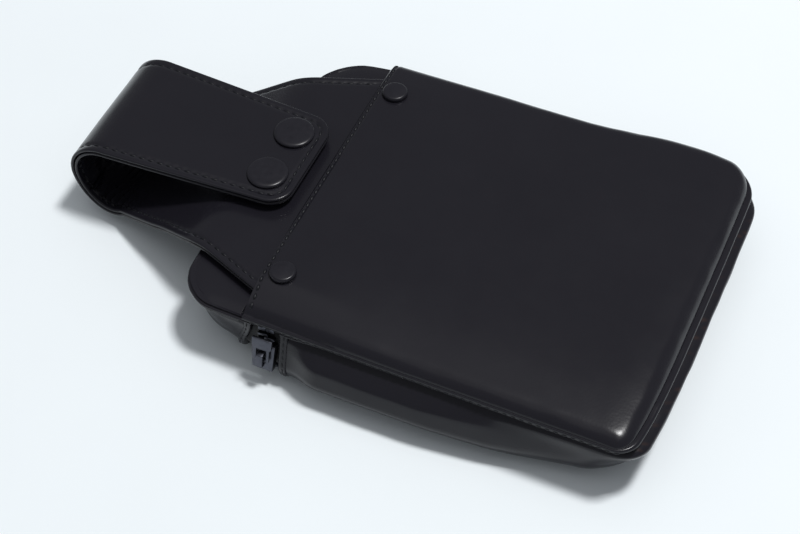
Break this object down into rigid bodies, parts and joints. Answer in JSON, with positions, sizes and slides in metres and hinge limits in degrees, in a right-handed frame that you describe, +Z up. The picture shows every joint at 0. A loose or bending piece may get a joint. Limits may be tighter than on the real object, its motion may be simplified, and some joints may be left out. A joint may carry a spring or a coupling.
{
  "type": "zipped leather belt case",
  "caption": "Padded leather belt case lying on its front: zipped top that hinges at the back seam, and a riveted belt loop that folds over and closes with snap fasteners.",
  "frame": {"origin": "centre of the part's bounding box in plan, on the table that the front panel rests on", "axes": "+X from the belt loop to the bottom of the case, +Y across the case away from the zip slider, +Z up, out of the back panel"},
  "size_m": [0.239, 0.1428, 0.0372],
  "materials": {
    "leather": "smooth black leather, semi-gloss",
    "foam": "charcoal foam padding",
    "lining": "black woven lining",
    "snap_metal": "black lacquer over brass",
    "zip_tape": "black woven zip tape",
    "zip_teeth": "black nylon",
    "zip_metal": "blackened zinc, worn bright on its edges"
  },
  "bodies": {
    "pouch": {"back_panel": "leather", "back_padding": "foam", "gusset": "leather", "front_panel": "leather", "body_padding": "foam", "body_lining": "lining", "strap_anchor": "leather", "rivet_cap_near": "snap_metal", "rivet_cap_far": "snap_metal", "rivet_base_near": "snap_metal", "rivet_base_far": "snap_metal", "zip_tape_lower": "zip_tape", "zip_teeth_lower": "zip_teeth", "zip_top_stop_lower": "zip_metal", "zip_bottom_stop": "zip_metal"},
    "lid": {"lid_back_panel": "leather", "lid_gusset": "leather", "lid_front_panel": "leather", "lid_padding": "foam", "lid_lining": "lining", "zip_tape_upper": "zip_tape", "zip_teeth_upper": "zip_teeth", "zip_top_stop_upper": "zip_metal"},
    "loop": {"strap_root_outer": "leather", "strap_root_lining": "leather", "snap_stud_near": "snap_metal", "snap_stud_far": "snap_metal", "snap_post_near": "snap_metal", "snap_post_far": "snap_metal"},
    "bend_lower": {"strap_bend_lower_outer": "leather", "strap_bend_lower_lining": "leather"},
    "bend_upper": {"strap_bend_upper_outer": "leather", "strap_bend_upper_lining": "leather"},
    "flap": {"strap_flap_outer": "leather", "strap_flap_lining": "leather", "snap_cap_near": "snap_metal", "snap_cap_far": "snap_metal", "snap_socket_near": "snap_metal", "snap_socket_far": "snap_metal"},
    "slider": {"zip_slider": "zip_metal", "zip_slider_bridge": "zip_metal"},
    "pull": {"zip_pull": "zip_metal"}
  },
  "joints": [
    {"name": "lid_open", "type": "hinge", "parent": "pouch", "child": "lid", "pos_m": [-0.02832, 0.00208, 0.02985], "axis": [0, 1, 0], "range_deg": [0, 65]},
    {"name": "loop_lift", "type": "hinge", "parent": "lid", "child": "loop", "pos_m": [-0.02832, 0.00208, 0.02985], "axis": [0, 1, 0], "range_deg": [0, 35]},
    {"name": "flap_open", "type": "hinge", "parent": "loop", "child": "bend_lower", "pos_m": [-0.10614, 0.00208, 0.00645], "axis": [0, -1, 0], "range_deg": [0, 50], "deforming": ["strap_bend_lower_outer", "strap_bend_lower_lining"]},
    {"name": "flap_open_middle", "type": "hinge", "parent": "bend_lower", "child": "bend_upper", "pos_m": [-0.11762, 0.00208, 0.01704], "axis": [0, -1, 0], "range_deg": [0, 50], "deforming": ["strap_bend_upper_outer", "strap_bend_upper_lining"]},
    {"name": "flap_open_upper", "type": "hinge", "parent": "bend_upper", "child": "flap", "pos_m": [-0.11193, 0.00208, 0.03159], "axis": [0, -1, 0], "range_deg": [0, 50]},
    {"name": "zip_slide", "type": "slide", "parent": "pouch", "child": "slider", "axis": [0, 0.225, 0.9744], "range_m": [-0.003, 0.0045]},
    {"name": "pull_flip", "type": "hinge", "parent": "slider", "child": "pull", "pos_m": [-0.01832, -0.06895, 0.01303], "axis": [1, 0, 0], "range_deg": [0, 150]}
  ],
  "couplings": [
    {"joint": "flap_open_middle", "follows": "flap_open", "ratio": 1},
    {"joint": "flap_open_upper", "follows": "flap_open", "ratio": 1}
  ]
}
